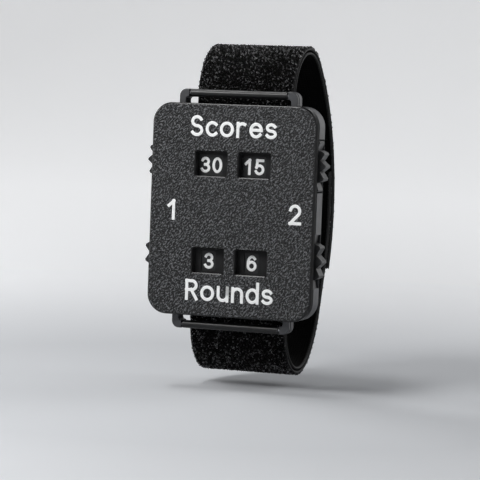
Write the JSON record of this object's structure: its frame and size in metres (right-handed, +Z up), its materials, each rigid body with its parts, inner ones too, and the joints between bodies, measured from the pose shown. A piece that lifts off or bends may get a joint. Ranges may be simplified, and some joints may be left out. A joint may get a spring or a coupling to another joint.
{
  "type": "wrist score counter",
  "caption": "Wrist-worn tennis score counter: a flat case with number windows turned by toothed thumbwheels at its sides, on a hook-and-loop strap.",
  "frame": {"origin": "centre of the flat face of the strap bridge on the case back, which rests on the wrist", "axes": "+Z up the case, +X to the right seen from the front, the front faces -Y"},
  "size_m": [0.0466, 0.0477, 0.084],
  "materials": {
    "cover_plastic": "black, moulded pebble grain",
    "case_plastic": "black, fine satin",
    "wheel_plastic": "black, satin, white printed numbers",
    "steel": "plain steel",
    "bar_metal": "satin black",
    "loop_pile": "black brushed loop pile",
    "strap_lining": "black knitted lining",
    "hook_tape": "black woven hook tape"
  },
  "bodies": {
    "root": {"front_cover": "cover_plastic", "rear_case": "case_plastic", "axle_pins": "steel", "case_screws": "steel", "strap_pile": "loop_pile", "strap_lining": "strap_lining", "points_detent_left": "steel", "points_detent_right": "steel", "games_detent_left": "steel", "games_detent_right": "steel"},
    "points_wheel_left": {"points_wheel_left": "wheel_plastic"},
    "points_wheel_right": {"points_wheel_right": "wheel_plastic"},
    "games_wheel_left": {"games_wheel_left": "wheel_plastic"},
    "games_wheel_right": {"games_wheel_right": "wheel_plastic"},
    "top_bar": {"top_bar_tube": "bar_metal", "top_bar_spring": "steel"},
    "top_bar_tip_left": {"top_bar_tip_left": "bar_metal"},
    "top_bar_tip_right": {"top_bar_tip_right": "bar_metal"},
    "bottom_bar": {"bottom_bar_tube": "bar_metal", "bottom_bar_spring": "steel"},
    "bottom_bar_tip_left": {"bottom_bar_tip_left": "bar_metal"},
    "bottom_bar_tip_right": {"bottom_bar_tip_right": "bar_metal"},
    "strap_tab": {"tab_pile": "loop_pile", "tab_lining": "strap_lining", "hook_patch": "hook_tape"}
  },
  "joints": [
    {"name": "points_wheel_left_turn", "type": "hinge", "parent": "root", "child": "points_wheel_left", "pos_m": [-0.0121, -0.0071, 0.012], "axis": [0, -1, 0], "continuous": true, "deforming": ["points_detent_left"]},
    {"name": "points_wheel_right_turn", "type": "hinge", "parent": "root", "child": "points_wheel_right", "pos_m": [0.0121, -0.0071, 0.012], "axis": [0, -1, 0], "continuous": true, "deforming": ["points_detent_right"]},
    {"name": "games_wheel_left_turn", "type": "hinge", "parent": "root", "child": "games_wheel_left", "pos_m": [-0.0121, -0.0071, -0.0115], "axis": [0, -1, 0], "continuous": true, "deforming": ["games_detent_left"]},
    {"name": "games_wheel_right_turn", "type": "hinge", "parent": "root", "child": "games_wheel_right", "pos_m": [0.0121, -0.0071, -0.0115], "axis": [0, -1, 0], "continuous": true, "deforming": ["games_detent_right"]},
    {"name": "top_bar_spin", "type": "hinge", "parent": "root", "child": "top_bar", "pos_m": [0, -0.0079, 0.029], "axis": [1, 0, 0], "continuous": true},
    {"name": "top_bar_tip_left_slide", "type": "slide", "parent": "top_bar", "child": "top_bar_tip_left", "axis": [1, 0, 0], "range_m": [0, 0.0016], "stiffness_N_per_m": 300, "springref_m": -0.001, "deforming": ["top_bar_spring"]},
    {"name": "top_bar_tip_right_slide", "type": "slide", "parent": "top_bar", "child": "top_bar_tip_right", "axis": [-1, 0, 0], "range_m": [0, 0.0016], "stiffness_N_per_m": 300, "springref_m": -0.001, "deforming": ["top_bar_spring"]},
    {"name": "bottom_bar_spin", "type": "hinge", "parent": "root", "child": "bottom_bar", "pos_m": [0, -0.0079, -0.029], "axis": [1, 0, 0], "continuous": true},
    {"name": "bottom_bar_tip_left_slide", "type": "slide", "parent": "bottom_bar", "child": "bottom_bar_tip_left", "axis": [1, 0, 0], "range_m": [0, 0.0016], "stiffness_N_per_m": 300, "springref_m": -0.001, "deforming": ["bottom_bar_spring"]},
    {"name": "bottom_bar_tip_right_slide", "type": "slide", "parent": "bottom_bar", "child": "bottom_bar_tip_right", "axis": [-1, 0, 0], "range_m": [0, 0.0016], "stiffness_N_per_m": 300, "springref_m": -0.001, "deforming": ["bottom_bar_spring"]},
    {"name": "strap_tab_peel", "type": "hinge", "parent": "root", "child": "strap_tab", "pos_m": [0, 0.03455, 0.014], "axis": [1, 0, 0], "range_deg": [0, 70]}
  ]
}
